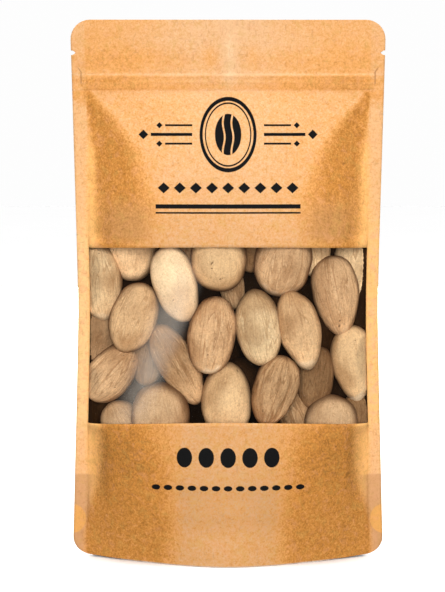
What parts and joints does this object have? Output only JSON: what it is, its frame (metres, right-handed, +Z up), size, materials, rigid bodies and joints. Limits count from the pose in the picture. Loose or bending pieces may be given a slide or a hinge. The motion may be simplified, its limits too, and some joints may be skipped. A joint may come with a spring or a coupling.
{
  "type": "stand-up pouch of whole nutmegs",
  "caption": "Kraft paper stand-up pouch with a press-to-close strip, a bottom gusset and a clear window that shows whole nutmegs.",
  "frame": {"origin": "middle of the foot, on the floor that the pouch stands on", "axes": "+Z up, -Y out of the front with the window, +X to the right seen from the front"},
  "size_m": [0.1106, 0.0388, 0.1905],
  "materials": {
    "kraft_paper": "matte kraft paper with fine fibres",
    "clear_film": "clear gloss film",
    "nutmeg_shell": "dry furrowed seed"
  },
  "bodies": {
    "root": {"pouch": "kraft_paper", "window_film": "clear_film", "nutmegs": "nutmeg_shell"}
  },
  "joints": []
}
